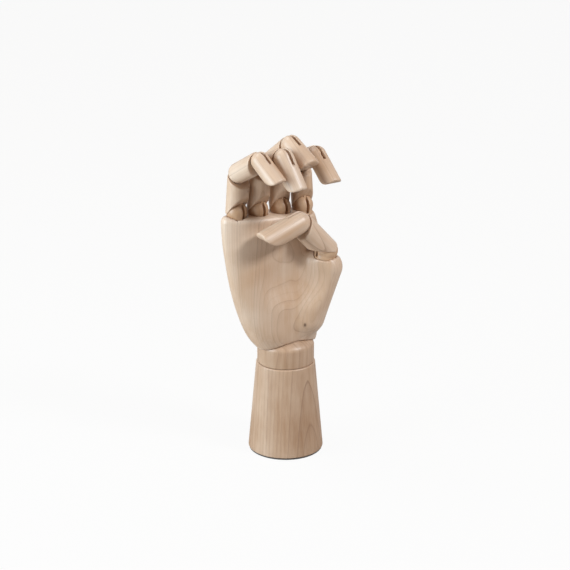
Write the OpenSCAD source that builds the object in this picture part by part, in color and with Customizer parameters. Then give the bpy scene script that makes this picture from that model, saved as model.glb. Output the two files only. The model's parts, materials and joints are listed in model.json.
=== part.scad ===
// Articulated wooden hand on a turned base: a right hand, palm towards -Y, thumb towards +X.
// The origin is the centre of the base's underside.

/* [Base] */
// Diameter of the base at the table
base_bottom_d = 60; // [56:0.5:68]
// Diameter of the base at its top
base_top_d = 47; // [46:0.5:52]
// Height of the base's flat top above the table
base_h = 74.5; // [70:0.5:90]
// Width of the small bevel round the base's top edge
base_bevel = 0.7; // [0.4:0.1:1.2]
// Thickness of the felt pad under the base
pad_t = 1.5; // [1:0.1:2.5]
// How far the felt pad stays inside the base's edge
pad_inset = 0.6; // [0.4:0.1:2]

/* [Wrist] */
// Diameter of the wrist disc
wrist_d = 45.2; // [43:0.2:46]
// Height of the wrist disc's straight side
wrist_side_h = 15.4; // [11:0.2:18]
// Radius of the dome that the palm rolls on
dome_r = 30; // [28:0.5:34]
// Largest tilt of the palm to each side, in degrees
wrist_tilt = 10; // [6:1:10]
// Diameter of the draw bolt
bolt_d = 6; // [5:0.5:6]
// Wire diameter of the tension spring
wire_d = 1.6; // [1.2:0.1:1.8]
// Number of turns in the tension spring
spring_turns = 6; // [4:1:7]

/* [Palm] */
// Height of the palm from the wrist's edge to the knuckle face, on the wrist's axis
palm_h = 109.1; // [102:0.1:116]
// Greatest width of the palm without the thumb's mound
palm_w = 84; // [82:1:90]
// Thickness of the palm at the knuckle face
palm_top_t = 24.4; // [22:0.2:28]
// Slope of the knuckle face down towards the index finger, in degrees
palm_top_slope = 3.6; // [0:0.2:5]
// Rounding of the knuckle face's edge
palm_edge_r = 3.2; // [2:0.2:3.6]

/* [Fingers] */
// Distance between neighbouring knuckles, from the little to the index finger
knuckle_pitch = [18.4, 20.2, 19.8];
// Distance of the middle finger's knuckle from the wrist's axis, towards the little finger
knuckle_offset = 4.6; // [3:0.2:6]
// Height of each knuckle's pivot above the knuckle face
knuckle_rise = 3.3; // [3.1:0.1:4]
// Diameter of a finger's proximal piece
proximal_d = 17.4; // [16.8:0.1:17.8]
// Diameter of a finger's intermediate piece
intermediate_d = 16.4; // [15.8:0.1:16.6]
// Diameters of the distal pieces
distal_d = [14.4, 15.8, 15.8, 14.8];
// Pivot to pivot lengths of the proximal pieces, from the little to the index finger
proximal_l = [31.5, 36.2, 37.6, 34.6];
// Pivot to pivot lengths of the intermediate pieces
intermediate_l = [26.5, 28, 25.8, 25];
// Pivot to tip lengths of the distal pieces
distal_l = [26.3, 29.6, 28.5, 30.4];
// Length of the curved cut that forms a fingertip
tip_cut_l = 19; // [15:0.5:21]

/* [Thumb] */
// Where the thumb's pivot lies: across, towards the front, and above the wrist's edge
thumb_pivot = [24, -21.5, 78.8];
// Outward lean of the thumb's peg, in degrees
thumb_lean = 12; // [8:1:16]
// Pivot to pivot length of the thumb's proximal piece
thumb_proximal_l = 37; // [34:0.5:40]
// Pivot to tip length of the thumb's distal piece
thumb_distal_l = 37; // [34:0.5:40]
// Diameter of the thumb's distal piece
thumb_distal_d = 17.4; // [16.8:0.1:17.6]
// How much thicker the thumb's other pieces are than a finger's
thumb_gain = 1.12; // [1.05:0.01:1.15]

/* [Joints] */
// Thickness of the wooden tongue in each joint
tongue_t = 2; // [1.6:0.1:2.6]
// Clearance on each side of a tongue in its slot
slot_gap = 0.2; // [0.15:0.05:0.3]
// Clearance between a round joint head and its cup
cup_gap = 0.2; // [0.15:0.05:0.25]
// Diameter of the steel pins
pin_d = 1.5; // [1.2:0.1:2]
// Radial clearance of a tongue's eye on its pin
pin_gap = 0.05; // [0.03:0.01:0.1]
// Diameter of the wooden pegs that turn in the palm
peg_d = 8; // [6:0.5:9]
// Length of the wooden pegs
peg_l = 14; // [10:0.5:18]

/* [Pose] */
// Turn of each knuckle in the palm, from the little to the index finger
finger_turn = [16.5, 13.8, 8.7, 3.4];
// Bend of each proximal piece from upright
proximal_bend = [5.2, 5, -11.5, -6];
// Bend of each intermediate piece against its proximal piece
intermediate_bend = [53.3, 62.5, 64.4, 72];
// Bend of each distal piece against its intermediate piece
distal_bend = [70.4, 79, 65.2, 64];
// Turn of the thumb's knuckle about its peg
thumb_turn = -87; // [-95:1:-75]
// Bend of the thumb's proximal piece
thumb_bend = 55; // [45:1:60]
// Bend of the thumb's distal piece against its proximal piece
thumb_tip_bend = 64.5; // [50:0.5:75]

/* [Hidden] */
$fn = 64;
wood = "burlywood";
steel = "silver";
pivot_gap = 0.1;
turn_gap = 0.3;
peg_gap = 0.05;
wrist_r = wrist_d / 2;
wrist_z = base_h + turn_gap;
palm_z = wrist_z + wrist_side_h;
pivot_z = palm_z - sqrt(dome_r * dome_r - wrist_r * wrist_r);
bolt_r = bolt_d / 2;
full_tilt = wrist_tilt * 1.43;

// Round seat under the base's web, and the shells that slide on it.
seat_r = 11;
cup_washer_t = 1.8;
cup_r = seat_r + cup_gap;
spring_cup_r = cup_r + cup_washer_t + cup_gap;
washer_r = 9.5;
ceiling_z = pivot_z - 4;
narrow_bore_r = 15;
wide_bore_r = 19;
wide_bore_z = ceiling_z - 20;
web_hole_r = bolt_r + seat_r * tan(full_tilt) + 0.6;
spring_top_z = pivot_z - spring_cup_r - 3.4;
spring_r = 6.2;
bolt_head_z = 24;
bolt_head_t = 4;
insert_r = bolt_r + 2;
insert_l = 14;
insert_z = pivot_z + dome_r + turn_gap + 1;

// Fingers: columns are little, ring, middle, index.
LITTLE = 0;
RING = 1;
MIDDLE = 2;
INDEX = 3;
knuckle_x = [
    -knuckle_offset - knuckle_pitch[1] - knuckle_pitch[0],
    -knuckle_offset - knuckle_pitch[1],
    -knuckle_offset,
    -knuckle_offset + knuckle_pitch[2]
];
function knuckle_face_z(x) = palm_z + palm_h - x * tan(palm_top_slope);
function knuckle_pos(i) = [knuckle_x[i], 0, knuckle_face_z(knuckle_x[i]) + knuckle_rise];
thumb_pos = [thumb_pivot[0], thumb_pivot[1], palm_z + thumb_pivot[2]];

proximal_r = proximal_d / 2;
intermediate_r = intermediate_d / 2;
knuckle_r = intermediate_r;
collar_r = knuckle_r - 0.6;
collar_depth = 3.5;
disc_r = 5.4;
slot_floor = disc_r + slot_gap;
root_half_w = 4.2;
root_l = 7;
pin_r = pin_d / 2;
// How far a cup's rim stays short of the pivot, at the back and at the palm side.
rim_back = 1.6;
rim_front = 10.2;
// The proximal piece's foot reaches past the pivot at the back only.
foot_back = 1.2;
foot_front = 14;
foot_flat_y = 5;

// Base and wrist.

module base() {
    color(wood) difference() {
        rotate_extrude() polygon([
            [0, pad_t],
            [base_bottom_d / 2, pad_t],
            [base_top_d / 2, base_h - base_bevel],
            [base_top_d / 2 - base_bevel, base_h],
            [0, base_h]
        ]);
        difference() {
            union() {
                translate([0, 0, pad_t - 1]) cylinder(r = wide_bore_r, h = wide_bore_z - pad_t + 1);
                translate([0, 0, pad_t]) cylinder(r = narrow_bore_r, h = ceiling_z - pad_t);
            }
            translate([0, 0, pivot_z]) sphere(r = seat_r);
        }
        translate([0, 0, pivot_z - seat_r - 1]) cylinder(r = web_hole_r, h = base_h);
    }
}

module base_pad() {
    color("dimgray") cylinder(r = base_bottom_d / 2 - pad_inset, h = pad_t);
}

module wrist_disc() {
    top_z = pivot_z + dome_r;
    bore_low_r = bolt_r + (wrist_z - pivot_z) * tan(full_tilt) + 0.6;
    bore_high_r = bolt_r + dome_r * tan(full_tilt) + 0.6;
    color(wood) difference() {
        intersection() {
            translate([0, 0, wrist_z]) cylinder(r = wrist_r, h = top_z - wrist_z + 1);
            translate([0, 0, pivot_z]) sphere(r = dome_r);
        }
        translate([0, 0, wrist_z - 0.01])
            cylinder(r1 = bore_low_r, r2 = bore_high_r, h = top_z - wrist_z + 0.02);
    }
}

// A washer bent into a shell, which slides on the round seat under the web.
module cup_washer() {
    color(steel) difference() {
        intersection() {
            translate([0, 0, pivot_z]) sphere(r = cup_r + cup_washer_t);
            translate([0, 0, pivot_z - cup_r - 4]) cylinder(r = washer_r, h = cup_r - 3);
        }
        translate([0, 0, pivot_z]) sphere(r = cup_r);
        translate([0, 0, pivot_z - 2 * seat_r]) cylinder(r = web_hole_r, h = 2 * seat_r);
    }
}

module spring_cup() {
    color(steel) difference() {
        translate([0, 0, spring_top_z]) cylinder(r = washer_r - 0.5, h = 7);
        translate([0, 0, pivot_z]) sphere(r = spring_cup_r);
        translate([0, 0, spring_top_z - 1]) cylinder(r = bolt_r + peg_gap, h = 12);
    }
}

// Points of one ring of wire, square to the helix.
function wire_ring(t, low, high, sides) = [
    for (k = [0 : sides - 1])
        let (
            a = 360 * spring_turns * t,
            out = spring_r + wire_d / 2 * cos(360 * k / sides),
            z = low + (high - low) * t + wire_d / 2 * sin(360 * k / sides)
        )
        [out * cos(a), out * sin(a), z]
];

module tension_spring() {
    sides = 6;
    steps = spring_turns * 12;
    low = bolt_head_z + bolt_head_t + wire_d / 2 + pivot_gap;
    high = spring_top_z - wire_d / 2 - pivot_gap;
    points = [for (s = [0 : steps]) each wire_ring(s / steps, low, high, sides)];
    walls = [
        for (s = [0 : steps - 1], k = [0 : sides - 1])
            let (a = s * sides + k, b = s * sides + (k + 1) % sides)
            each [[a, b, a + sides], [b, b + sides, a + sides]]
    ];
    first = [for (k = [sides - 1 : -1 : 0]) k];
    last = [for (k = [0 : sides - 1]) steps * sides + k];
    color(steel) polyhedron(points, concat([first], walls, [last]));
}

module draw_bolt() {
    color(steel) union() {
        translate([0, 0, bolt_head_z]) cylinder(d = 10.2, h = bolt_head_t, $fn = 6);
        translate([0, 0, bolt_head_z + bolt_head_t - 0.5])
            cylinder(r = bolt_r, h = insert_z + insert_l - bolt_head_z - bolt_head_t);
    }
}

module palm_insert() {
    color("goldenrod") difference() {
        translate([0, 0, insert_z]) cylinder(r = insert_r, h = insert_l);
        translate([0, 0, insert_z - 1]) cylinder(r = bolt_r + peg_gap, h = insert_l + 2);
    }
}

// Palm: a loft of rounded sections, smoothly joined to the thumb's mound.

// Height above the wrist's edge, half width, half thickness, middle of the width.
palm_sections = [
    [-3, palm_w / 2 - 18.4, palm_top_t / 2 + 1.7, 0.4],
    [5, palm_w / 2 - 14, palm_top_t / 2 + 5.1, -2],
    [14, palm_w / 2 - 11.8, palm_top_t / 2 + 6.3, -5.2],
    [29, palm_w / 2 - 7.3, palm_top_t / 2 + 5.7, -7],
    [47, palm_w / 2 - 2.3, palm_top_t / 2 + 4.2, -7.7],
    [64, palm_w / 2 - 0.9, palm_top_t / 2 + 2.8, -10],
    [88, palm_w / 2 + 0.4, palm_top_t / 2 + 1.2, -12.6],
    [palm_h, palm_w / 2 - 1.7, palm_top_t / 2, -16.2]
];

function section_slope(i, k) =
    let (
        n = len(palm_sections) - 1,
        lo = palm_sections[max(0, i - 1)],
        hi = palm_sections[min(n, i + 1)]
    )
    (hi[k] - lo[k]) / (hi[0] - lo[0]);

function section_span(h, i = 0) =
    (i >= len(palm_sections) - 2 || h < palm_sections[i + 1][0]) ? i : section_span(h, i + 1);

// Column k of the sections at height h, on a smooth curve through the rows.
function section_value(h, k) =
    let (
        i = section_span(h),
        p = palm_sections[i],
        q = palm_sections[i + 1],
        w = q[0] - p[0],
        t = (h - p[0]) / w,
        t2 = t * t,
        t3 = t2 * t
    )
    (2 * t3 - 3 * t2 + 1) * p[k] + (t3 - 2 * t2 + t) * w * section_slope(i, k)
        + (3 * t2 - 2 * t3) * q[k] + (t3 - t2) * w * section_slope(i + 1, k);

function blend(a, b, w) =
    let (d = max(w - abs(a - b), 0) / w)
    min(a, b) - d * d * w / 4;

// Distance from the point p to a rod that runs from a to b and tapers from ra to rb.
function rod_distance(p, a, b, ra, rb) =
    let (
        ab = b - a,
        t = max(0, min(1, ((p - a) * ab) / (ab * ab)))
    )
    norm(p - a - ab * t) - ra - (rb - ra) * t;

mound_low = [13, -13, 23.5];
mound_high = [thumb_pivot[0], thumb_pivot[1] + 1, thumb_pivot[2] - 12.3];
mound_low_r = 13.1;
mound_high_r = 13.4;
hollow_pos = [-13, -49, 60];
hollow_r = 37;

// Roughly the distance of the point p outside the palm; p[2] is its height above the wrist's edge.
function palm_field(p, half_w, half_t, mid, inset) =
    let (
        power = 2.35,
        u = abs((p[0] - mid) / half_w),
        v = abs(p[1] / half_t),
        body = (pow(pow(u, power) + pow(v, power), 1 / power) - 1) * half_t + inset,
        mound = rod_distance(p, mound_low, mound_high, mound_low_r, mound_high_r),
        hollow = norm(p - hollow_pos) - hollow_r
    )
    -blend(-blend(body, mound, 9), hollow, 6);

// Radius at which the ray from the point c at angle a leaves the palm, found by halving.
function palm_radius(c, a, half_w, half_t, mid, inset, lo = 0, hi = 75, n = 15) =
    n == 0 ? (lo + hi) / 2 :
    let (
        r = (lo + hi) / 2,
        f = palm_field(c + [r * cos(a), r * sin(a), 0], half_w, half_t, mid, inset)
    )
    f > 0 ? palm_radius(c, a, half_w, half_t, mid, inset, lo, r, n - 1)
          : palm_radius(c, a, half_w, half_t, mid, inset, r, hi, n - 1);

// The point that a section's rays start from, which moves towards the mound where that is.
function ray_start(h, mid) =
    let (t = max(0, 1 - abs(h - mound_high[2] + 6) / 45))
    [mid + 17 * t * t * (3 - 2 * t), -7 * t * t * (3 - 2 * t), h];

function edge_inset(h) =
    let (d = max(0, palm_edge_r - (palm_h - h)))
    palm_edge_r - sqrt(palm_edge_r * palm_edge_r - d * d);

function palm_ring(h, sides) =
    let (
        half_w = section_value(h, 1),
        half_t = section_value(h, 2),
        mid = section_value(h, 3),
        c = ray_start(h, mid)
    )
    [
        for (k = [0 : sides - 1])
            let (
                a = 360 * k / sides,
                r = palm_radius(c, a, half_w, half_t, mid, edge_inset(h)),
                x = c[0] + r * cos(a)
            )
            [x, c[1] + r * sin(a), palm_z + h - x * tan(palm_top_slope) * max(0, h) / palm_h]
    ];

module palm_form() {
    sides = 52;
    rise = palm_edge_r;
    heights = concat(
        [for (s = [0 : 5]) -3 + 3.4 * s],
        [for (s = [1 : 14]) 14 + (palm_h - rise - 14) * s / 14],
        [for (s = [1 : 3]) palm_h - rise + rise * sin(30 * s)]
    );
    points = [for (h = heights) each palm_ring(h, sides)];
    last_row = len(heights) - 1;
    walls = [
        for (s = [0 : last_row - 1], k = [0 : sides - 1])
            let (a = s * sides + k, b = s * sides + (k + 1) % sides)
            each [[a, a + sides, b], [b, a + sides, b + sides]]
    ];
    low = [for (k = [0 : sides - 1]) k];
    high = [for (k = [sides - 1 : -1 : 0]) last_row * sides + k];
    polyhedron(points, concat([low], walls, [high]));
}

// The hole that a knuckle's collar and peg turn in.
module knuckle_seat(gain = 1, clear_h = 12) {
    floor_z = -knuckle_rise - collar_depth - pivot_gap;
    translate([0, 0, floor_z]) cylinder(r = collar_r * gain + turn_gap, h = clear_h);
    translate([0, 0, floor_z - peg_l - 0.5]) cylinder(r = peg_d / 2 + peg_gap, h = peg_l + 1);
}

module palm() {
    color(wood) difference() {
        palm_form();
        translate([0, 0, pivot_z]) sphere(r = dome_r + turn_gap, $fn = 96);
        translate([0, 0, pivot_z + dome_r - 1]) cylinder(r = insert_r, h = insert_z - pivot_z - dome_r + insert_l + 2);
        for (i = [LITTLE : INDEX]) translate(knuckle_pos(i)) knuckle_seat();
        at_thumb() {
            knuckle_seat(thumb_gain);
            translate([0, 0, -knuckle_rise]) cylinder(r = 15, h = 15);
        }
    }
}

// Where the pieces of finger i lie.

module at_knuckle(i) {
    translate(knuckle_pos(i)) rotate([0, 0, finger_turn[i]]) children();
}

module at_proximal(i) {
    at_knuckle(i) rotate([proximal_bend[i], 0, 0]) children();
}

module at_intermediate(i) {
    at_proximal(i) translate([0, 0, proximal_l[i]]) rotate([intermediate_bend[i], 0, 0]) children();
}

module at_distal(i) {
    at_intermediate(i) translate([0, 0, intermediate_l[i]]) rotate([distal_bend[i], 0, 0]) children();
}

module at_thumb() {
    translate(thumb_pos) rotate([0, thumb_lean, 0]) children();
}

module at_thumb_knuckle() {
    at_thumb() rotate([0, 0, thumb_turn]) children();
}

module at_thumb_proximal() {
    at_thumb_knuckle() rotate([thumb_bend, 0, 0]) children();
}

module at_thumb_distal() {
    at_thumb_proximal() translate([0, 0, thumb_proximal_l]) rotate([thumb_tip_bend, 0, 0]) children();
}

// Finger pieces, each upright with its lower pivot at the origin and the palm side towards -Y.

// Outline of a round head that runs on as a straight piece up to height top.
module head_outline(r, top) {
    intersection() {
        circle(r = r);
        translate([0, -r]) square(r);
    }
    square([r, top]);
}

// The slot that a tongue swings in, cut down from the head to its floor.
module head_slot(head_r) {
    w = tongue_t + 2 * slot_gap;
    translate([-w / 2, -head_r - 3, -head_r - 1]) cube([w, 2 * head_r + 6, head_r + 1 + slot_floor]);
}

// The blind hole of a pin. It opens on the +X side, or on the other side where side is -1.
module pin_hole(head_r, side = 1) {
    translate([side * (2 - head_r), 0, 0]) rotate([0, side * 90, 0]) cylinder(r = pin_r, h = 2 * head_r + 4);
}

module pin(head_r, side = 1) {
    color(steel) translate([side * (2 - head_r), 0, 0]) rotate([0, side * 90, 0])
        cylinder(r = pin_r, h = 2 * head_r - 2.8);
}

module tongue(cup_r) {
    reach = cup_r + root_l;
    color(wood) difference() {
        union() {
            translate([-tongue_t / 2, 0, 0]) rotate([0, 90, 0]) cylinder(r = disc_r, h = tongue_t);
            translate([-tongue_t / 2, -root_half_w, 0]) cube([tongue_t, 2 * root_half_w, reach]);
        }
        translate([-tongue_t, 0, 0]) rotate([0, 90, 0]) cylinder(r = pin_r + pin_gap, h = 2 * tongue_t);
    }
}

// The mortise that a tongue is glued into.
module mortise(cup_r) {
    g = 0.05;
    w = tongue_t + 2 * g;
    d = 2 * root_half_w + 2 * g;
    translate([-w / 2, -d / 2, 0]) cube([w, d, cup_r + root_l + g]);
}

module knuckle(gain = 1, pin_side = 1) {
    r = knuckle_r * gain;
    collar = collar_r * gain;
    low = -knuckle_rise - collar_depth;
    color(wood) difference() {
        rotate_extrude() {
            intersection() {
                circle(r = r);
                translate([0, -sqrt(r * r - collar * collar)]) square(2 * r);
            }
            translate([0, low]) square([collar, -low]);
            translate([0, low - peg_l]) polygon([
                [0, 0], [peg_d / 2 - 0.6, 0], [peg_d / 2, 0.6], [peg_d / 2, peg_l], [0, peg_l]
            ]);
        }
        mirror([0, 0, 1]) head_slot(r);
        pin_hole(r, pin_side);
    }
}

// Cuts a cup at the top of a piece of length l, lower at the palm side.
module cup_cut(l, body_r, cup_r) {
    slope = atan((rim_front - rim_back) / (2 * body_r));
    translate([0, 0, l]) rotate([slope, 0, 0]) sphere(r = cup_r);
    translate([0, body_r, l - rim_back]) rotate([slope, 0, 0])
        translate([-20, -60, 0]) cube([40, 80, 40]);
    translate([0, 0, l]) mirror([0, 0, 1]) mortise(cup_r);
}

module proximal(l, body_r, foot_cup_r, cup_r) {
    slope = atan((foot_front + foot_back) / (body_r + foot_flat_y));
    color(wood) difference() {
        translate([0, 0, -foot_back]) cylinder(r = body_r, h = l + foot_back);
        rotate([-slope, 0, 0]) sphere(r = foot_cup_r);
        translate([0, foot_flat_y, -foot_back]) rotate([-slope, 0, 0])
            translate([-20, -60, -40]) cube([40, 60, 40]);
        mortise(foot_cup_r);
        cup_cut(l, body_r, cup_r);
    }
}

module intermediate(l, cup_r) {
    color(wood) difference() {
        rotate_extrude() head_outline(intermediate_r, l);
        head_slot(intermediate_r);
        pin_hole(intermediate_r);
        cup_cut(l, intermediate_r, cup_r);
    }
}

// Side view of a fingertip: the back is straight and the palm side curves up to meet it.
module tip_side(l, r, cut_l) {
    bow_r = (4 * r * r + cut_l * cut_l) / (4 * r);
    translate([-2 * r, -2 * r]) square([4 * r, l - cut_l + 2 * r]);
    intersection() {
        translate([-r, l - cut_l - 0.01]) square([2 * r + 1, cut_l + 0.01]);
        translate([bow_r - r, l - cut_l]) circle(r = bow_r, $fn = 128);
    }
}

module distal(l, r, cut_l, pin_side = 1) {
    color(wood) difference() {
        intersection() {
            rotate_extrude() head_outline(r, l);
            rotate([90, 0, 90]) translate([0, 0, -2 * r]) linear_extrude(4 * r) tip_side(l, r, cut_l);
        }
        head_slot(r);
        pin_hole(r, pin_side);
    }
}

module finger_knuckle(i) {
    at_knuckle(i) knuckle();
}

module finger_proximal(i) {
    at_proximal(i) proximal(proximal_l[i], proximal_r, knuckle_r + cup_gap, intermediate_r + cup_gap);
}

module finger_intermediate(i) {
    at_intermediate(i) intermediate(intermediate_l[i], distal_d[i] / 2 + cup_gap);
}

module finger_distal(i) {
    at_distal(i) distal(distal_l[i], distal_d[i] / 2, tip_cut_l);
}

module finger_knuckle_tongue(i) {
    at_proximal(i) tongue(knuckle_r + cup_gap);
}

module finger_middle_tongue(i) {
    at_proximal(i) translate([0, 0, proximal_l[i]]) mirror([0, 0, 1]) tongue(intermediate_r + cup_gap);
}

module finger_tip_tongue(i) {
    at_intermediate(i) translate([0, 0, intermediate_l[i]]) mirror([0, 0, 1]) tongue(distal_d[i] / 2 + cup_gap);
}

module finger_knuckle_pin(i) {
    at_knuckle(i) pin(knuckle_r);
}

module finger_middle_pin(i) {
    at_intermediate(i) pin(intermediate_r);
}

module finger_tip_pin(i) {
    at_distal(i) pin(distal_d[i] / 2);
}

// Thumb pieces. Their pins are driven from the side that faces the back of the hand.

thumb_proximal_r = proximal_r * thumb_gain;
thumb_distal_r = thumb_distal_d / 2;
thumb_knuckle_r = knuckle_r * thumb_gain;

module thumb_knuckle() {
    at_thumb_knuckle() knuckle(thumb_gain, -1);
}

module thumb_proximal() {
    at_thumb_proximal() proximal(
        thumb_proximal_l, thumb_proximal_r, thumb_knuckle_r + cup_gap, thumb_distal_r + cup_gap);
}

module thumb_distal() {
    at_thumb_distal() distal(thumb_distal_l, thumb_distal_r, tip_cut_l * 1.25, -1);
}

module thumb_knuckle_tongue() {
    at_thumb_proximal() tongue(thumb_knuckle_r + cup_gap);
}

module thumb_tip_tongue() {
    at_thumb_proximal() translate([0, 0, thumb_proximal_l]) mirror([0, 0, 1])
        tongue(thumb_distal_r + cup_gap);
}

module thumb_knuckle_pin() {
    at_thumb_knuckle() pin(thumb_knuckle_r, -1);
}

module thumb_tip_pin() {
    at_thumb_distal() pin(thumb_distal_r, -1);
}

base();
base_pad();
wrist_disc();
cup_washer();
spring_cup();
tension_spring();
draw_bolt();
palm_insert();
palm();
finger_knuckle(LITTLE);  // little_knuckle
finger_proximal(LITTLE);  // little_proximal
finger_intermediate(LITTLE);  // little_intermediate
finger_distal(LITTLE);  // little_distal
finger_knuckle_tongue(LITTLE);  // little_knuckle_tongue
finger_middle_tongue(LITTLE);  // little_middle_tongue
finger_tip_tongue(LITTLE);  // little_tip_tongue
finger_knuckle_pin(LITTLE);  // little_knuckle_pin
finger_middle_pin(LITTLE);  // little_middle_pin
finger_tip_pin(LITTLE);  // little_tip_pin
finger_knuckle(RING);  // ring_knuckle
finger_proximal(RING);  // ring_proximal
finger_intermediate(RING);  // ring_intermediate
finger_distal(RING);  // ring_distal
finger_knuckle_tongue(RING);  // ring_knuckle_tongue
finger_middle_tongue(RING);  // ring_middle_tongue
finger_tip_tongue(RING);  // ring_tip_tongue
finger_knuckle_pin(RING);  // ring_knuckle_pin
finger_middle_pin(RING);  // ring_middle_pin
finger_tip_pin(RING);  // ring_tip_pin
finger_knuckle(MIDDLE);  // middle_knuckle
finger_proximal(MIDDLE);  // middle_proximal
finger_intermediate(MIDDLE);  // middle_intermediate
finger_distal(MIDDLE);  // middle_distal
finger_knuckle_tongue(MIDDLE);  // middle_knuckle_tongue
finger_middle_tongue(MIDDLE);  // middle_middle_tongue
finger_tip_tongue(MIDDLE);  // middle_tip_tongue
finger_knuckle_pin(MIDDLE);  // middle_knuckle_pin
finger_middle_pin(MIDDLE);  // middle_middle_pin
finger_tip_pin(MIDDLE);  // middle_tip_pin
finger_knuckle(INDEX);  // index_knuckle
finger_proximal(INDEX);  // index_proximal
finger_intermediate(INDEX);  // index_intermediate
finger_distal(INDEX);  // index_distal
finger_knuckle_tongue(INDEX);  // index_knuckle_tongue
finger_middle_tongue(INDEX);  // index_middle_tongue
finger_tip_tongue(INDEX);  // index_tip_tongue
finger_knuckle_pin(INDEX);  // index_knuckle_pin
finger_middle_pin(INDEX);  // index_middle_pin
finger_tip_pin(INDEX);  // index_tip_pin
thumb_knuckle();
thumb_proximal();
thumb_distal();
thumb_knuckle_tongue();
thumb_tip_tongue();
thumb_knuckle_pin();
thumb_tip_pin();
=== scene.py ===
import bpy
import json
import math
import numpy as np
from mathutils import Matrix, Vector


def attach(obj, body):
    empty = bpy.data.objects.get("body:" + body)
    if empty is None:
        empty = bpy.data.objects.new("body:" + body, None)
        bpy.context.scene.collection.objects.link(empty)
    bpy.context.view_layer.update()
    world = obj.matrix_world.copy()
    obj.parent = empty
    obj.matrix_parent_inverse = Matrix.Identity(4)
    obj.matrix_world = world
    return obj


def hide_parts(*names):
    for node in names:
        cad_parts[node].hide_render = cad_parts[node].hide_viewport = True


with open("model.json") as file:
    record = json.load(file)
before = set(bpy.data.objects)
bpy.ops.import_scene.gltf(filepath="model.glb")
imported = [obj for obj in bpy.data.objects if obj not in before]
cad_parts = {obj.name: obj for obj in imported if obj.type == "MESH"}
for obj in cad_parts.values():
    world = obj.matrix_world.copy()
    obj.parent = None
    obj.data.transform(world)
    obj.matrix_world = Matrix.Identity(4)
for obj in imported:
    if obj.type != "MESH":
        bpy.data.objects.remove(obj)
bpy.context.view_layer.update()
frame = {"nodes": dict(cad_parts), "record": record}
record = frame["record"]
collection = bpy.context.scene.collection

# The part's measures.
BASE_R, BASE_TOP_R, BASE_H, BASE_BEVEL = 30.0, 23.5, 74.5, 0.7
BORE_WIDE_R, BORE_NARROW_R, WEB_DROP, BORE_STEP = 19.0, 15.0, 4, 20
PAD_T, PAD_INSET = 1.5, 0.6
WRIST_R, WRIST_SIDE, DOME_R, TURN_GAP = 22.6, 15.4, 30.0, 0.3
WRIST_Z = BASE_H + TURN_GAP
PALM_Z = WRIST_Z + WRIST_SIDE
PIVOT_Z = PALM_Z - math.sqrt(DOME_R**2 - WRIST_R**2)
PALM_H, PALM_W, PALM_TOP_T, PALM_SLOPE = 109.1, 84.0, 24.4, math.tan(math.radians(3.6))
KNUCKLE_RISE, COLLAR_DEPTH, CUP_GAP = 3.3, 3.5, 0.2
PEG_R, PEG_L, PEG_SPARE = 4.0, 14.0, 0.5
BOLT_R, BOLT_GAP, INSERT_R, INSERT_TOP = 3.0, 0.6, 5.0, 46.3
SEAT_R, FULL_TILT = 11.0, math.tan(math.radians(14.3))
DISC_BORE_TOP_R = 10.75
PROXIMAL_R, INTERMEDIATE_R = 8.7, 8.2
KNUCKLE_R = INTERMEDIATE_R
COLLAR_R = KNUCKLE_R - 0.6
SLOT_W, SLOT_FLOOR, SLOT_RUN_OUT = 2.4, 5.6, 3.8
RIM_BACK, RIM_FRONT = 1.6, 10.2
FOOT_BACK, FOOT_FRONT, FOOT_FLAT_Y = 1.2, 14.0, 2.5
FINGERS = ["little", "ring", "middle", "index"]
KNUCKLE_X = [-43.2, -24.8, -4.6, 15.2]
DISTAL_R = [7.2, 7.9, 7.9, 7.4]
TURN = [16.5, 13.8, 8.7, 3.4]
BEND = [[5.2, 53.3, 70.4], [5.0, 62.5, 79.0], [-11.5, 64.4, 65.2], [-6.0, 72.0, 64.0]]
LENGTH = [[31.5, 26.5, 26.3], [36.2, 28.0, 29.6], [37.6, 25.8, 28.5], [34.6, 25.0, 30.4]]
TIP_CUT, TIP_BLUNT = 19.0, 1.4
THUMB_POS = [24.0, -21.5, PALM_Z + 78.8]
THUMB_LEAN, THUMB_TURN, THUMB_BEND, THUMB_LENGTH = 12.0, -87.0, [55.0, 64.5], [37.0, 37.0]
THUMB_GAIN, THUMB_DISTAL_R, THUMB_CUT_GAIN = 1.12, 8.7, 1.25
THUMB_LEDGE_R = 15
KNOT, KNOT_STRETCH = [4.24, -22.97, 110.82], 0.62

# How far the edges are rounded.
RIM_ROUND, CUP_ROUND = 0.9, 0.35
SLOT_ROUND, FLOOR_ROUND = 0.5, 0.3
MOUTH_ROUND = 0.6

# How finely the shapes are drawn.
STEP = 0.55
PALM_STEP = 1.0
SLOPE_STEP = 0.02
PALM_SLOPE_STEP = 0.25
SIDES = 160


# Small helpers for shapes given as signed distances.
def length2(a, b):
    return np.sqrt(a * a + b * b)


def length3(a, b, c):
    return np.sqrt(a * a + b * b + c * c)


def both(a, b, k):
    """Where two shapes overlap, with their edge rounded over about k."""
    h = np.clip(0.5 + 0.5 * (a - b) / k, 0, 1)
    return b + (a - b) * h + k * h * (1 - h)


def without(a, b, k):
    return both(a, -b, k)


def either(a, b, k):
    return -both(-a, -b, k)


def with_slope(shape, p):
    """The shape's value at each point, and how it changes along X, Y and Z."""
    value = shape(p[:, 0], p[:, 1], p[:, 2])
    slope = np.zeros_like(p)
    for axis in range(3):
        d = np.zeros(3)
        d[axis] = SLOPE_STEP
        a, b = p + d, p - d
        change = shape(a[:, 0], a[:, 1], a[:, 2]) - shape(b[:, 0], b[:, 1], b[:, 2])
        slope[:, axis] = change / (2 * SLOPE_STEP)
    return value, slope


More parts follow.
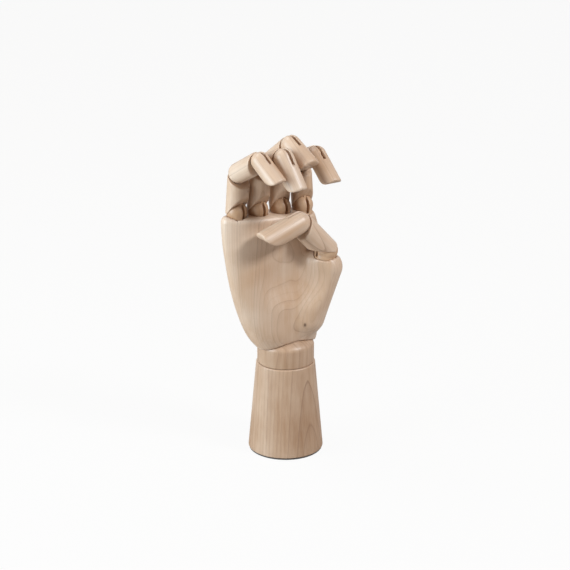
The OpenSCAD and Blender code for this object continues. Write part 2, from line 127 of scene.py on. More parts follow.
def net(shape, low, high, step):
    """A quad mesh of the surface where shape(x, y, z) is 0, found on a grid and then drawn onto the surface."""
    low = np.array(low, float)
    count = np.ceil((np.array(high, float) - low) / step).astype(int) + 1
    x, y, z = np.meshgrid(*[low[i] + step * np.arange(count[i]) for i in range(3)], indexing="ij")
    value = shape(x, y, z)
    inside = value < 0
    corners = [(i, j, k) for i in (0, 1) for j in (0, 1) for k in (0, 1)]

    def part(array, c):
        return array[tuple(slice(c[i], count[i] - 1 + c[i]) for i in range(3))]

    # One point in each cell that the surface passes, at the middle of where it meets the cell's edges.
    filled = sum(part(inside, c).astype(np.int8) for c in corners)
    cells = np.nonzero((filled > 0) & (filled < 8))
    index = np.full(filled.shape, -1, np.int64)
    index[cells] = np.arange(len(cells[0]))
    total = np.zeros((len(cells[0]), 3))
    hits = np.zeros(len(cells[0]))
    for c in corners:
        for axis in range(3):
            if c[axis]:
                continue
            d = list(c)
            d[axis] = 1
            a, b = part(value, c)[cells], part(value, d)[cells]
            cross = (a < 0) != (b < 0)
            t = np.where(cross, a / np.where(cross, a - b, 1), 0)
            point = np.array(c, float)[None, :].repeat(len(a), 0)
            point[:, axis] += t
            total[cross] += point[cross]
            hits[cross] += 1
    points = low + step * (np.stack(cells, 1) + total / hits[:, None])

    # Each point then moves onto the surface, by at most half a step at a time.
    for _ in range(4):
        here, slope = with_slope(shape, points)
        move = slope * (here / np.maximum((slope**2).sum(1), 1e-9))[:, None]
        far = np.maximum(np.linalg.norm(move, axis=1) / (0.5 * step), 1)
        points = points - move / far[:, None]

    # One quad round each grid edge that the surface crosses.
    quads = []
    for axis in range(3):
        one, two = (axis + 1) % 3, (axis + 2) % 3
        span = [slice(1, count[i] - 1) for i in range(3)]
        start, end = list(span), list(span)
        start[axis], end[axis] = slice(0, count[axis] - 1), slice(1, count[axis])
        first, second = inside[tuple(start)], inside[tuple(end)]
        for flip, mask in ((False, first & ~second), (True, ~first & second)):
            at = np.stack(np.nonzero(mask), 1)
            at[:, one] += 1
            at[:, two] += 1
            ring = []
            for s, t in ((0, 0), (1, 0), (1, 1), (0, 1)):
                p = at.copy()
                p[:, one] -= s
                p[:, two] -= t
                ring.append(index[p[:, 0], p[:, 1], p[:, 2]])
            quads.append(np.stack(ring[::-1] if flip else ring, 1))
    return points, np.concatenate(quads)


# Turned shapes.
def revolve(profile):
    """A quad mesh of a closed profile of (radius, height) turned about Z."""
    angles = 2 * np.pi * np.arange(SIDES) / SIDES
    radius, height = np.array(profile).T
    rows = len(radius)
    points = np.stack(
        [
            np.outer(radius, np.cos(angles)),
            np.outer(radius, np.sin(angles)),
            np.outer(height, np.ones(SIDES)),
        ],
        -1,
    ).reshape(-1, 3)
    quads = []
    for row in range(rows):
        here, there = row * SIDES, (row + 1) % rows * SIDES
        for k in range(SIDES):
            after = (k + 1) % SIDES
            quads.append((here + k, here + after, there + after, there + k))
    return points, np.array(quads)


def rounded(corners, steps=6):
    """A closed outline through corners of (radius, height, rounding), each rounded by that much."""
    out = []
    for i, (r, z, cut) in enumerate(corners):
        here = np.array([r, z])
        before = np.array(corners[i - 1][:2]) - here
        after = np.array(corners[(i + 1) % len(corners)][:2]) - here
        if cut <= 0:
            out.append(here)
            continue
        a = here + before / np.linalg.norm(before) * cut
        b = here + after / np.linalg.norm(after) * cut
        for s in range(steps + 1):
            t = s / steps
            out.append((1 - t) ** 2 * a + 2 * t * (1 - t) * here + t**2 * b)
    return out


def subdivided(outline, longest):
    """The same closed outline with its long sides cut up."""
    out = []
    for i, p in enumerate(outline):
        q = outline[(i + 1) % len(outline)]
        n = max(1, int(np.ceil(np.linalg.norm(np.array(q) - p) / longest)))
        out += [p + (np.array(q) - p) * s / n for s in range(n)]
    return out


def make(node, points, faces, place, body, material, timber=None):
    """A smooth piece in place of a node, from points in mm in its own frame.

    timber gives the grain: turn of the blank, distance of its pith, lean, and place along the tree.
    """
    name = node + "_form"
    mesh = bpy.data.meshes.new(name)
    mesh.from_pydata((np.asarray(points) / 1000).tolist(), [], np.asarray(faces).tolist())
    mesh.validate()
    mesh.polygons.foreach_set("use_smooth", [True] * len(mesh.polygons))
    if timber:
        turn, pith, tilt, shift = timber
        c, s = math.cos(math.radians(turn)), math.sin(math.radians(turn))
        co = np.zeros(len(mesh.vertices) * 3)
        mesh.vertices.foreach_get("co", co)
        p = co.reshape(-1, 3) * 1000
        u = c * p[:, 0] + s * p[:, 1] + pith + p[:, 2] * tilt
        v = -s * p[:, 0] + c * p[:, 1]
        grain = mesh.attributes.new("timber", "FLOAT_VECTOR", "POINT")
        grain.data.foreach_set("vector", np.stack([u, v, p[:, 2] + shift], 1).astype(np.float32).ravel())
    mesh.materials.append(material)
    piece = bpy.data.objects.new(name, mesh)
    collection.objects.link(piece)
    piece.matrix_world = place
    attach(piece, body)
    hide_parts(node)


# Materials.
class Nodes:
    """Short ways to add and join shader nodes."""

    def __init__(self, owner):
        owner.use_nodes = True
        self.tree = owner.node_tree
        self.tree.nodes.clear()

    def add(self, kind, **values):
        node = self.tree.nodes.new("ShaderNode" + kind)
        for key, value in values.items():
            setattr(node, key, value)
        return node

    def set(self, socket, value):
        if isinstance(value, bpy.types.NodeSocket):
            self.tree.links.new(value, socket)
        else:
            socket.default_value = value

    def math(self, operation, a, b=0.0, c=0.0, clamp=False):
        node = self.add("Math", operation=operation, use_clamp=clamp)
        for i, value in enumerate((a, b, c)):
            self.set(node.inputs[i], value)
        return node.outputs[0]

    def scaled(self, vector, x, y, z, shift=(0, 0, 0)):
        node = self.add("Mapping")
        self.set(node.inputs["Vector"], vector)
        node.inputs["Scale"].default_value = (x, y, z)
        node.inputs["Location"].default_value = shift
        return node.outputs[0]

    def millimetres(self, z_gain=1.0, shift=(0, 0, 0)):
        """The place on the object in millimetres."""
        return self.scaled(self.add("TexCoord").outputs["Object"], 1000, 1000, 1000 * z_gain, shift)

    def noise(self, vector, scale, detail, rough, distortion=0.0):
        node = self.add("TexNoise")
        self.set(node.inputs["Vector"], vector)
        node.inputs["Scale"].default_value = scale
        node.inputs["Detail"].default_value = detail
        node.inputs["Roughness"].default_value = rough
        node.inputs["Distortion"].default_value = distortion
        return node.outputs["Fac"]

    def along(self, vector, stretch, scale, detail, rough):
        """Noise that is drawn out along the grain."""
        return self.noise(self.scaled(vector, 1, 1, stretch), scale, detail, rough)

    def ramp(self, value, *stops):
        """A grey ramp through stops of (place, brightness)."""
        node = self.add("ValToRGB")
        elements = node.color_ramp.elements
        while len(elements) < len(stops):
            elements.new(0.5)
        for element, (at, grey) in zip(elements, stops):
            element.position = at
            element.color = (grey, grey, grey, 1)
        self.set(node.inputs[0], value)
        return node.outputs[0]

    def mix(self, factor, a, b):
        node = self.add("Mix", data_type="RGBA")
        self.set(node.inputs[0], factor)
        for i, colour in ((6, a), (7, b)):
            self.set(node.inputs[i], colour if isinstance(colour, bpy.types.NodeSocket) else (*colour, 1))
        return node.outputs[2]

    def bump(self, shader, height, distance, strength=1.0):
        node = self.add("Bump")
        node.inputs["Strength"].default_value = strength
        node.inputs["Distance"].default_value = distance
        self.set(node.inputs["Height"], height)
        self.set(shader.inputs["Normal"], node.outputs[0])


def surface(name):
    material = bpy.data.materials.new(name)
    n = Nodes(material)
    out, shader = n.add("OutputMaterial"), n.add("BsdfPrincipled")
    n.set(out.inputs[0], shader.outputs[0])
    return material, n, shader


def srgb(r, g, b):
    return tuple(((c / 255 + 0.055) / 1.055) ** 2.4 for c in (r, g, b))


def wood(
    name, pale, dark, line,
    spacing=3.2, line_strength=0.5, streak=0.35, wander=5.0, contrast=2.2, carved=True, knot=None,
):
    """Beech: growth rings about a pith, fine fibres along Z, short flecks, soft blotches, handled edges and
    painted shade in hollows.

    spacing is the rings' distance in mm and wander how far they bend. A high contrast leaves few rings dark.
    """
    material, n, shader = surface(name)
    if carved:
        place = n.add("Attribute", attribute_name="timber").outputs["Vector"]
    else:
        place = n.millimetres(shift=(40, 0, 0))

    # Growth rings, each with a dark line of its own force at its outer side.
    split = n.add("SeparateXYZ")
    n.set(split.inputs[0], place)
    u, v = split.outputs[0], split.outputs[1]
    radius = n.math("SQRT", n.math("ADD", n.math("MULTIPLY", u, u), n.math("MULTIPLY", v, v)))
    wave = n.along(place, 0.3, 0.026, 1, 0.4)
    ripple = n.along(place, 0.12, 0.16, 2, 0.5)
    rings = n.math("DIVIDE", radius, spacing)
    rings = n.math("ADD", rings, n.math("MULTIPLY", wave, wander))
    rings = n.math("ADD", rings, n.math("MULTIPLY", ripple, 0.12))
    year = n.add("TexWhiteNoise", noise_dimensions="1D")
    n.set(year.inputs["W"], n.math("FLOOR", rings))
    late = n.ramp(
        n.math("FRACT", rings), (0.0, 0.3), (0.07, 0.03), (0.6, 0.08), (0.92, 0.35), (0.975, 1), (1.0, 0.6)
    )
    force = n.math("MULTIPLY_ADD", n.math("POWER", year.outputs["Value"], contrast), 0.85, 0.15)
    late = n.math("MULTIPLY", n.math("MULTIPLY", late, force), line_strength, clamp=True)

    # Fibres, streaks and blotches between the pale and the dark colour, and the short flecks of beech.
    fibre = n.along(place, 0.018, 1.5, 6, 0.62)
    streaks = n.along(place, 0.03, 0.22, 4, 0.6)
    fleck = n.ramp(n.along(place, 0.2, 3.2, 1, 0.5), (0.66, 0), (0.76, 1))
    blotch = n.noise(place, 0.018, 3, 0.55)
    tone = n.math("MULTIPLY_ADD", n.math("SUBTRACT", streaks, 0.5), 2.2 * streak, 0.5)
    tone = n.math("ADD", tone, n.math("MULTIPLY", n.math("SUBTRACT", fibre, 0.5), 1.1 * streak))
    tone = n.math("ADD", tone, n.math("MULTIPLY", n.math("SUBTRACT", blotch, 0.5), 1.5), clamp=True)
    colour = n.mix(tone, pale, dark)
    colour = n.mix(late, colour, line)
    colour = n.mix(n.math("MULTIPLY", fleck, 0.16), colour, line)

    # Hollows are darkened towards the line colour as painted shade, and handled edges are rubbed pale by wear.
    wear_and_shade = n.ramp(n.add("NewGeometry").outputs["Pointiness"], (0.44, 0), (0.5, 0.5), (0.58, 1))
    painted_hollow_shade = n.math("MULTIPLY", n.math("SUBTRACT", 0.5, wear_and_shade, clamp=True), 0.5, clamp=True)
    high = n.math("MULTIPLY", n.math("SUBTRACT", wear_and_shade, 0.5, clamp=True), 0.35, clamp=True)
    colour = n.mix(painted_hollow_shade, colour, line)
    colour = n.mix(high, colour, tuple(min(1, c * 1.18) for c in pale))
    if knot:
        spot = n.add("VectorMath", operation="DISTANCE")
        n.set(spot.inputs[0], n.millimetres(KNOT_STRETCH))
        spot.inputs[1].default_value = (knot[0], knot[1], knot[2] * KNOT_STRETCH)
        distance = n.math("MULTIPLY", spot.outputs["Value"], 0.4)
        bud = n.ramp(distance, (0.0, 0.95), (0.3, 0.7), (0.5, 0.12), (0.8, 0))
        colour = n.mix(bud, colour, tuple(c * 0.5 for c in line))
    n.set(shader.inputs["Base Color"], colour)

    # A thin satin lacquer over the fibres.
    rough = n.math("MULTIPLY_ADD", fibre, 0.22, 0.36)
    n.set(shader.inputs["Roughness"], n.math("MULTIPLY_ADD", late, 0.1, rough))
    shader.inputs["Specular IOR Level"].default_value = 0.5
    shader.inputs["Coat Weight"].default_value = 0.3
    shader.inputs["Coat Roughness"].default_value = 0.36
    height = n.math("ADD", n.math("MULTIPLY", fibre, 0.6), n.math("MULTIPLY", late, -0.5))
    height = n.math("ADD", height, n.math("MULTIPLY", fleck, -0.3))
    n.bump(shader, height, 0.00008, 0.35)
    return material


def felt():
    material, n, shader = surface("Felt")
    place = n.millimetres()
    tuft = n.noise(place, 2.2, 6, 0.7, 0.6)
    lump = n.noise(place, 0.25, 3, 0.6)
    colour = n.mix(tuft, srgb(52, 47, 44), srgb(104, 96, 90))
    n.set(shader.inputs["Base Color"], n.mix(n.math("MULTIPLY", lump, 0.5), colour, srgb(70, 62, 58)))
    shader.inputs["Roughness"].default_value = 0.95
    shader.inputs["Sheen Weight"].default_value = 0.4
    n.bump(shader, tuft, 0.0003)
    return material


def metal(name, low, high, roughness):
    material, n, shader = surface(name)
    place = n.millimetres()
    scratch = n.along(place, 9, 0.8, 5, 0.65)
    cloud = n.noise(place, 0.3, 3, 0.6)
    n.set(shader.inputs["Base Color"], n.mix(cloud, low, high))
    shader.inputs["Metallic"].default_value = 1.0
    n.set(shader.inputs["Roughness"], n.math("MULTIPLY_ADD", scratch, 0.25, roughness))
    n.bump(shader, scratch, 0.00005, 0.2)
    return material


PALE = srgb(218, 197, 178)
DARK = srgb(182, 141, 104)
LINE = srgb(116, 72, 44)
beech = wood("Beech", PALE, DARK, LINE)
# The base's own beech, darker than the palm's; the wrist disc wears it too, as painted shade under the palm's
# overhang.
base_and_wrist_shade_beech = wood(
    "Base_and_wrist_shade_beech", srgb(202, 174, 150), srgb(160, 122, 90), srgb(108, 68, 42),
    spacing=3.1, line_strength=0.6, streak=0.45, wander=1.2, contrast=0.7,
)
beech_palm = wood(
    "Beech_palm", PALE, DARK, LINE,
    spacing=1.7, line_strength=0.6, streak=0.3, wander=4.0, contrast=1.4, knot=KNOT,
)
# A darker, browner beech for the knuckles, as painted shade from the fingers above them.
knuckle_shade_beech = wood("Beech_knuckle", srgb(204, 172, 142), srgb(170, 128, 92), LINE)
beech_tongue = wood("Beech_tongue", srgb(196, 160, 128), srgb(170, 130, 98), LINE, carved=False)
felt_material = felt()
steel = metal("Steel", srgb(150, 150, 152), srgb(196, 196, 198), 0.28)
brass = metal("Brass", srgb(176, 140, 72), srgb(214, 180, 104), 0.3)

for subpart in record["subparts"]:
    finish = {"steel": steel, "brass": brass, "felt": felt_material}.get(subpart["material_slot"], beech_tongue)
    mesh = frame["nodes"][subpart["node"]].data
    mesh.materials.clear()
    mesh.materials.append(finish)


# Shapes of the finger pieces, each upright with its lower pivot at the origin and the palm side towards -Y.
# Each gives its shape and the box that the grid fills.
def head(x, y, z, r):
    return np.where(z < 0, length3(x, y, z), length2(x, y)) - r


def slot_shape(x, z, floor=SLOT_FLOOR):
    return both(np.abs(x) - SLOT_W / 2, z - floor, FLOOR_ROUND)


def cup_cut(body, x, y, z, length, body_r, cup_r):
    """Cut the top off at a slant, high on the back, and hollow it out for the next piece's head."""
    slope = math.atan((RIM_FRONT - RIM_BACK) / (2 * body_r))
    above = -(y - body_r) * math.sin(slope) + (z - length + RIM_BACK) * math.cos(slope)
    body = both(body, above, RIM_ROUND)
    return without(body, length3(x, y, z - length) - cup_r, CUP_ROUND)


def knuckle_shape(gain):
    r, collar = KNUCKLE_R * gain, COLLAR_R * gain
    low, bottom = -math.sqrt(r * r - collar * collar), -KNUCKLE_RISE - COLLAR_DEPTH

    def shape(x, y, z):
        ball = np.where(z > low, length3(x, y, z) - r, length2(x, y) - collar)
        ball = both(ball, bottom - z, FLOOR_ROUND)
        ball = without(ball, slot_shape(x, -z), SLOT_ROUND)
        peg = both(length2(x, y) - PEG_R, bottom - PEG_L - z, 0.6)
        return np.minimum(ball, both(peg, z - bottom - 1, 0.1))

    return shape, (-r - 1, -r - 1, bottom - PEG_L - 1), (r + 1, r + 1, r + 1)


def proximal_shape(length, r, foot_r, cup_r):
    slope = math.atan((FOOT_FRONT + FOOT_BACK) / (r + FOOT_FLAT_Y))
    reach = 1.4 * r

    def shape(x, y, z):
        body = length2(x, y) - r
        slanted = -((y - FOOT_FLAT_Y) * math.sin(slope) + (z + FOOT_BACK) * math.cos(slope))
        # The edges are sharp behind, where the foot's wall is thin, and softer in front.
        front = np.clip(0.3 - y / r, 0, 1)
        body = both(body, both(-FOOT_BACK - z, slanted, 0.5), 0.25 + 0.65 * front)
        body = without(body, length3(x, y, z) - foot_r, 0.12 + 0.23 * front)
        return cup_cut(body, x, y, z, length, r, cup_r)

    return shape, (-reach, -reach, -FOOT_BACK - 1), (reach, reach, length)


def intermediate_shape(length, cup_r):
    r = INTERMEDIATE_R

    def shape(x, y, z):
        body = without(head(x, y, z, r), slot_shape(x, z), SLOT_ROUND)
        return cup_cut(body, x, y, z, length, r, cup_r)

    return shape, (-r - 1, -r - 1, -r - 1), (r + 1, r + 1, length)


def distal_shape(length, r, cut):
    bow = (4 * r * r + cut * cut) / (4 * r)

    def shape(x, y, z):
        tip = np.where(z > length - cut, length2(y - bow + r, z - length + cut) - bow, -r - y)
        body = both(head(x, y, z, r), tip, 1.3)
        body = both(body, z - length + TIP_BLUNT, 1.8)
        # The slot runs out further up on the back.
        floor = SLOT_FLOOR + SLOT_RUN_OUT * np.clip((y - 1) / (r - 1), 0, 1) ** 2
        return without(body, slot_shape(x, z, floor), SLOT_ROUND)

    return shape, (-r - 1, -r - 1, -r - 1), (r + 1, r + 1, length + 1)


def thick_walled(x, y, r):
    """Spread the radii from 0.9 r to 1.03 r, so that the grid finds a proximal piece's thin wall."""
    spread = length2(x, y)
    gain = np.interp(spread / r, [0, 0.9, 1.29, 1.41], [0, 0.9, 1.03, 1.15]) * r / np.maximum(spread, 1e-6)
    return x * gain, y * gain


luck = np.random.default_rng(7)


def carve(node, shape_and_box, place, thin_r=None):
    """Make a finger piece's form, from a blank of its own."""
    shape, low, high = shape_and_box
    timber = (luck.uniform(0, 360), luck.uniform(22, 70), luck.uniform(-0.07, 0.07), luck.uniform(0, 900))
    if thin_r:
        points, faces = net(lambda x, y, z: shape(*thick_walled(x, y, thin_r), z), low, high, STEP)
        points[:, 0], points[:, 1] = thick_walled(points[:, 0], points[:, 1], thin_r)
    else:
        points, faces = net(shape, low, high, STEP)
    # Knuckles get the darker beech that paints the fingers' shade onto them.
    finish = knuckle_shade_beech if node.endswith("knuckle") else beech
    make(node, points, faces, place, node + "_body", finish, timber)


def pivot_at(origin, *turns):
    matrix = Matrix.Translation(Vector(origin) / 1000)
    for axis, angle in turns:
        matrix = matrix @ Matrix.Rotation(math.radians(angle), 4, axis)
    return matrix


def knuckle_z(x):
    return PALM_Z + PALM_H - x * PALM_SLOPE + KNUCKLE_RISE


for finger, x, turn, bend, length, distal_r in zip(FINGERS, KNUCKLE_X, TURN, BEND, LENGTH, DISTAL_R):
    knuckle = pivot_at((x, 0, knuckle_z(x)), ("Z", turn))
    proximal = knuckle @ pivot_at((0, 0, 0), ("X", bend[0]))
    middle = proximal @ pivot_at((0, 0, length[0]), ("X", bend[1]))
    tip = middle @ pivot_at((0, 0, length[1]), ("X", bend[2]))
    foot_r, cup_r = KNUCKLE_R + CUP_GAP, INTERMEDIATE_R + CUP_GAP
    carve(finger + "_knuckle", knuckle_shape(1), knuckle)
    carve(finger + "_proximal", proximal_shape(length[0], PROXIMAL_R, foot_r, cup_r), proximal, PROXIMAL_R)
    carve(finger + "_intermediate", intermediate_shape(length[1], distal_r + CUP_GAP), middle)
    carve(finger + "_distal", distal_shape(length[2], distal_r, TIP_CUT), tip)

thumb = pivot_at(THUMB_POS, ("Y", THUMB_LEAN), ("Z", THUMB_TURN))
thumb_low = thumb @ pivot_at((0, 0, 0), ("X", THUMB_BEND[0]))
thumb_tip = thumb_low @ pivot_at((0, 0, THUMB_LENGTH[0]), ("X", THUMB_BEND[1]))
thumb_r, foot_r, cup_r = PROXIMAL_R * THUMB_GAIN, KNUCKLE_R * THUMB_GAIN + CUP_GAP, THUMB_DISTAL_R + CUP_GAP
carve("thumb_knuckle", knuckle_shape(THUMB_GAIN), thumb)
carve("thumb_proximal", proximal_shape(THUMB_LENGTH[0], thumb_r, foot_r, cup_r), thumb_low, thumb_r)
carve("thumb_distal", distal_shape(THUMB_LENGTH[1], THUMB_DISTAL_R, TIP_CUT * THUMB_CUT_GAIN), thumb_tip)

# The palm: rounded sections joined to the thumb's mound, hollowed in front, and seated on the wrist's dome.
# Each section has its height, half its width, half its thickness and the X of its middle.
SECTIONS = np.array(
    [
        [-3, PALM_W / 2 - 18.4, PALM_TOP_T / 2 + 1.7, 0.4],
        [5, PALM_W / 2 - 14, PALM_TOP_T / 2 + 5.1, -2],
        [14, PALM_W / 2 - 11.8, PALM_TOP_T / 2 + 6.3, -5.2],
        [29, PALM_W / 2 - 7.3, PALM_TOP_T / 2 + 5.7, -7],
        [47, PALM_W / 2 - 2.3, PALM_TOP_T / 2 + 4.2, -7.7],
        [64, PALM_W / 2 - 0.9, PALM_TOP_T / 2 + 2.8, -10],
        [88, PALM_W / 2 + 0.4, PALM_TOP_T / 2 + 1.2, -12.6],
        [PALM_H, PALM_W / 2 - 1.7, PALM_TOP_T / 2, -16.2],
    ]
)
HEIGHTS = SECTIONS[:, 0]
LAST = len(SECTIONS) - 1
ABOVE, BELOW = SECTIONS[[*range(1, LAST + 1), LAST]], SECTIONS[[0, *range(LAST)]]
SLOPES = (ABOVE - BELOW) / (ABOVE[:, :1] - BELOW[:, :1])
SECTION_POWER = 2.35
MOUND_LOW, MOUND_HIGH = np.array([13, -13, 23.5]), np.array([24, -20.5, 66.5])
MOUND_LOW_R, MOUND_HIGH_R, MOUND_BLEND = 13.1, 13.4, 9
HOLLOW, HOLLOW_R, HOLLOW_BLEND = np.array([-13.0, -49, 60]), 37.0, 6
PALM_TOP_ROUND, PALM_LOW_ROUND = 5.5, 1.6


def section(h, k):
    """Column k of the sections at heights h, on smooth curves through them."""
    i = np.clip(np.searchsorted(HEIGHTS, h, side="right") - 1, 0, LAST - 1)
    w = HEIGHTS[i + 1] - HEIGHTS[i]
    t = (h - HEIGHTS[i]) / w
    return (
        (2 * t**3 - 3 * t**2 + 1) * SECTIONS[i, k]
        + (t**3 - 2 * t**2 + t) * w * SLOPES[i, k]
        + (3 * t**2 - 2 * t**3) * SECTIONS[i + 1, k]
        + (t**3 - t**2) * w * SLOPES[i + 1, k]
    )


def palm_height(x, z):
    """The height above the palm's bottom, stretched so that the sloping top is level."""
    return (z - PALM_Z) / np.where(z > PALM_Z, 1 - x * PALM_SLOPE / PALM_H, 1)


def palm_field(x, y, z):
    h = palm_height(x, z)
    clipped = np.clip(h, -4, PALM_H + 2)
    half_w, half_t, mid = section(clipped, 1), section(clipped, 2), section(clipped, 3)
    u, v = np.abs((x - mid) / half_w), np.abs(y / half_t)
    body = ((u**SECTION_POWER + v**SECTION_POWER) ** (1 / SECTION_POWER) - 1) * half_t
    rod = MOUND_HIGH - MOUND_LOW
    a = x - MOUND_LOW[0], y - MOUND_LOW[1], h - MOUND_LOW[2]
    t = np.clip((a[0] * rod[0] + a[1] * rod[1] + a[2] * rod[2]) / (rod @ rod), 0, 1)
    mound = length3(a[0] - rod[0] * t, a[1] - rod[1] * t, a[2] - rod[2] * t)
    mound = mound - MOUND_LOW_R - (MOUND_HIGH_R - MOUND_LOW_R) * t
    hollow = length3(x - HOLLOW[0], y - HOLLOW[1], h - HOLLOW[2]) - HOLLOW_R
    return without(either(body, mound, MOUND_BLEND), hollow, HOLLOW_BLEND)


def seat(x, y, z, gain):
    """The bore for a knuckle's collar and peg, with the knuckle's pivot at the origin."""
    floor_z = -KNUCKLE_RISE - COLLAR_DEPTH - 0.1
    collar = both(length2(x, y) - COLLAR_R * gain - TURN_GAP, floor_z - z, FLOOR_ROUND)
    peg = both(length2(x, y) - PEG_R - 0.1, floor_z - PEG_L - PEG_SPARE - z, FLOOR_ROUND)
    return np.minimum(collar, peg)


def palm_shape(x, y, z):
    slope = 0
    for dx, dy, dz in PALM_SLOPE_STEP * np.eye(3):
        change = palm_field(x + dx, y + dy, z + dz) - palm_field(x - dx, y - dy, z - dz)
        slope = slope + (change / (2 * PALM_SLOPE_STEP)) ** 2
    body = palm_field(x, y, z) / np.clip(np.sqrt(slope), 0.25, 1.2)
    body = both(body, palm_height(x, z) - PALM_H, PALM_TOP_ROUND)
    body = without(body, length3(x, y, z - PIVOT_Z) - DOME_R - TURN_GAP, PALM_LOW_ROUND)
    body = both(body, PIVOT_Z - z, 1)
    insert = both(length2(x, y) - INSERT_R - 0.1, z - PIVOT_Z - INSERT_TOP, FLOOR_ROUND)
    body = without(body, insert, 0.3)
    for kx in KNUCKLE_X:
        body = without(body, seat(x - kx, y, z - knuckle_z(kx), 1), MOUTH_ROUND)
    lean = math.radians(THUMB_LEAN)
    tx, ty, tz = x - THUMB_POS[0], y - THUMB_POS[1], z - THUMB_POS[2]
    sx, sz = tx * math.cos(lean) - tz * math.sin(lean), tx * math.sin(lean) + tz * math.cos(lean)
    body = without(body, seat(sx, ty, sz, THUMB_GAIN), MOUTH_ROUND)
    return without(body, both(length2(sx, ty) - THUMB_LEDGE_R, -KNUCKLE_RISE - sz, 1.0), 1.4)


upright = Matrix.Identity(4)
points, faces = net(palm_shape, (-60, -40, PALM_Z - 6), (42, 24, PALM_Z + PALM_H + 6), PALM_STEP)
make("palm", points, faces, upright, "palm_body", beech_palm, (83, 66, 0.02, 330))

# The base, with the washer's round seat under its web.
ceiling = PIVOT_Z - WEB_DROP
web_r = BOLT_R + SEAT_R * FULL_TILT + BOLT_GAP
seat_angles = np.linspace(math.asin(web_r / SEAT_R), math.acos(WEB_DROP / SEAT_R), 7)
seat_arc = [(SEAT_R * math.sin(a), PIVOT_Z - SEAT_R * math.cos(a), 0) for a in seat_angles]
base_outline = [
    (BORE_WIDE_R, PAD_T, 0), (BASE_R, PAD_T, 0.7), (BASE_TOP_R, BASE_H - BASE_BEVEL, 0.35),
    (BASE_TOP_R - BASE_BEVEL, BASE_H, 0.35), (web_r, BASE_H, 0.4), *seat_arc, (BORE_NARROW_R, ceiling, 0),
    (BORE_NARROW_R, ceiling - BORE_STEP, 0), (BORE_WIDE_R, ceiling - BORE_STEP, 0),
]
points, faces = revolve(subdivided(rounded(base_outline), 2.5))
make("base", points, faces, upright, "base_body", base_and_wrist_shade_beech, (106, 78.9, 0.0, 120))

# The wrist disc, whose bore widens upwards to let the bolt tilt.
dome_angles = np.radians(range(46, 69, 4))
dome = [(DOME_R * math.cos(a), PIVOT_Z + DOME_R * math.sin(a), 0) for a in dome_angles]
bore_low = BOLT_R + (WRIST_Z - PIVOT_Z) * FULL_TILT + BOLT_GAP
bore_top_z = PIVOT_Z + math.sqrt(DOME_R**2 - DISC_BORE_TOP_R**2)
disc_outline = [
    (bore_low, WRIST_Z, 0.3), (WRIST_R, WRIST_Z, 0.6), (WRIST_R, PALM_Z, 2.2), *dome,
    (DISC_BORE_TOP_R, bore_top_z, 0.5),
]
points, faces = revolve(subdivided(rounded(disc_outline), 2.5))
# The wrist disc takes the base's darker beech as painted shade from the palm's overhang.
make("wrist_disc", points, faces, upright, "wrist_body", base_and_wrist_shade_beech, (200, 44, 0.05, 700))

# The base pad, with a slightly uneven felt rim.
pad_r = BASE_R - PAD_INSET
pad_outline = rounded([(0.05, 0, 0), (pad_r, 0, 0.5), (pad_r, PAD_T, 0.4), (0.05, PAD_T, 0)], 3)
points, faces = revolve(subdivided(pad_outline, 4))
fluff = 0.08 * np.sin(points[:, 0] * 3.1 + 2 * np.sin(points[:, 1] * 1.7)) * np.sin(points[:, 1] * 2.7)
rim = np.clip(length2(points[:, 0], points[:, 1]) - pad_r + 1, 0, 1)
points[:, :2] *= (1 - np.abs(fluff) * rim / pad_r)[:, None]
make("base_pad", points, faces, upright, "base_body", felt_material)

# Studio. The floor is nearly white to the camera, with the object's shadow, and greyer to other rays.
FLOOR_HALF, FLOOR_GLOW = 6, 0.94
floor = bpy.data.meshes.new("floor")
square = [(x * FLOOR_HALF, y * FLOOR_HALF, 0) for x, y in ((-1, -1), (1, -1), (1, 1), (-1, 1))]
floor.from_pydata(square, [], [(0, 1, 2, 3)])
floor_object = bpy.data.objects.new("floor", floor)
collection.objects.link(floor_object)
floor_material = bpy.data.materials.new("Floor")
floor.materials.append(floor_material)
n = Nodes(floor_material)
out, matt, glow = n.add("OutputMaterial"), n.add("BsdfDiffuse"), n.add("Emission")
path, join = n.add("LightPath"), n.add("MixShader")
matt.inputs["Color"].default_value = (0.55, 0.52, 0.49, 1)
glow.inputs["Color"].default_value = (1, 1, 1, 1)
n.set(join.inputs[0], n.math("MULTIPLY", path.outputs["Is Camera Ray"], FLOOR_GLOW))
n.set(join.inputs[1], matt.outputs[0])
n.set(join.inputs[2], glow.outputs[0])
n.set(out.inputs[0], join.outputs[0])

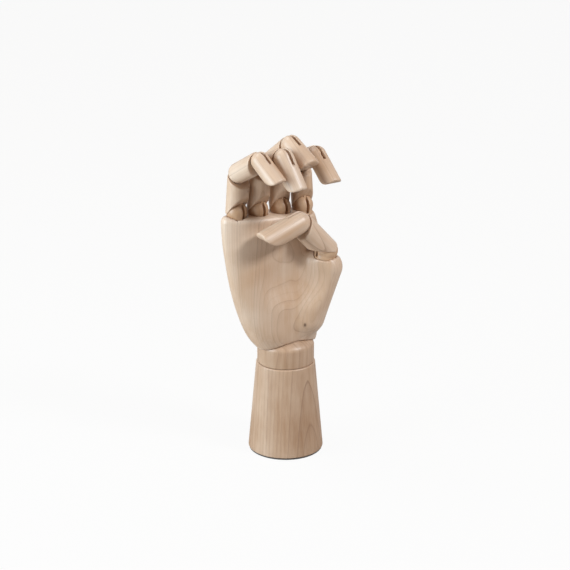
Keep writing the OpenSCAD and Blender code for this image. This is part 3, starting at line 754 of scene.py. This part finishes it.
# The surroundings are white where they are seen or mirrored, and a dim warm fill light otherwise.
FILL_COLOUR, FILL_STRENGTH = (1, 0.62, 0.36), 0.14
world = bpy.data.worlds.new("Studio")
bpy.context.scene.world = world
n = Nodes(world)
out, sky, path = n.add("OutputWorld"), n.add("Background"), n.add("LightPath")
mirrored = n.math("MAXIMUM", path.outputs["Is Glossy Ray"], path.outputs["Is Transmission Ray"])
seen = n.math("MAXIMUM", path.outputs["Is Camera Ray"], mirrored)
n.set(sky.inputs["Color"], n.mix(seen, FILL_COLOUR, (1, 1, 1)))
n.set(sky.inputs["Strength"], n.math("MULTIPLY_ADD", seen, 1 - FILL_STRENGTH, FILL_STRENGTH))
n.set(out.inputs[0], sky.outputs[0])


def lamp(name, at, aim_z, size, power, colour):
    data = bpy.data.lights.new(name, "AREA")
    data.shape = "SQUARE"
    data.size = size
    data.energy = power
    data.color = colour
    lamp_object = bpy.data.objects.new(name, data)
    lamp_object.location = at
    lamp_object.rotation_euler = (Vector((0, 0, aim_z)) - Vector(at)).to_track_quat("-Z", "Y").to_euler()
    collection.objects.link(lamp_object)


lamp("left", (-1.1, 0.1, 0.45), 0.13, 0.7, 17, (0.78, 0.92, 1))
lamp("right", (0.5, -0.9, 1.05), 0.16, 0.3, 15, (0.9, 0.96, 1))
lamp("back", (-0.4, 0.5, 1.2), 0.16, 0.4, 4.5, (0.88, 0.95, 1))

# The camera that was fitted to the photo: its angles, its distance from the base's centre, and in pixels its
# focal length and the shift of the picture.
AZIMUTH, PITCH, DEPTH = math.radians(-30), math.radians(20), 1.61943
PICTURE, FOCAL, SHIFT_RIGHT, SHIFT_UP = 570, 2000, 0.6, 159.75
SENSOR = 36
camera_data = bpy.data.cameras.new("camera")
camera_data.sensor_width = SENSOR
camera_data.lens = FOCAL * SENSOR / PICTURE
camera = bpy.data.objects.new("camera", camera_data)
collection.objects.link(camera)
back = Vector((math.sin(AZIMUTH) * math.cos(PITCH), -math.cos(AZIMUTH) * math.cos(PITCH), math.sin(PITCH)))
right = Vector((math.cos(AZIMUTH), math.sin(AZIMUTH), 0))
up = back.cross(right)
rotation = Matrix((right, up, back)).transposed()
place = back * DEPTH - right * (SHIFT_RIGHT * DEPTH / FOCAL) + up * (SHIFT_UP * DEPTH / FOCAL)
camera.matrix_world = Matrix.Translation(place) @ rotation.to_4x4()
bpy.context.scene.camera = camera
bpy.context.scene.view_settings.view_transform = "Standard"
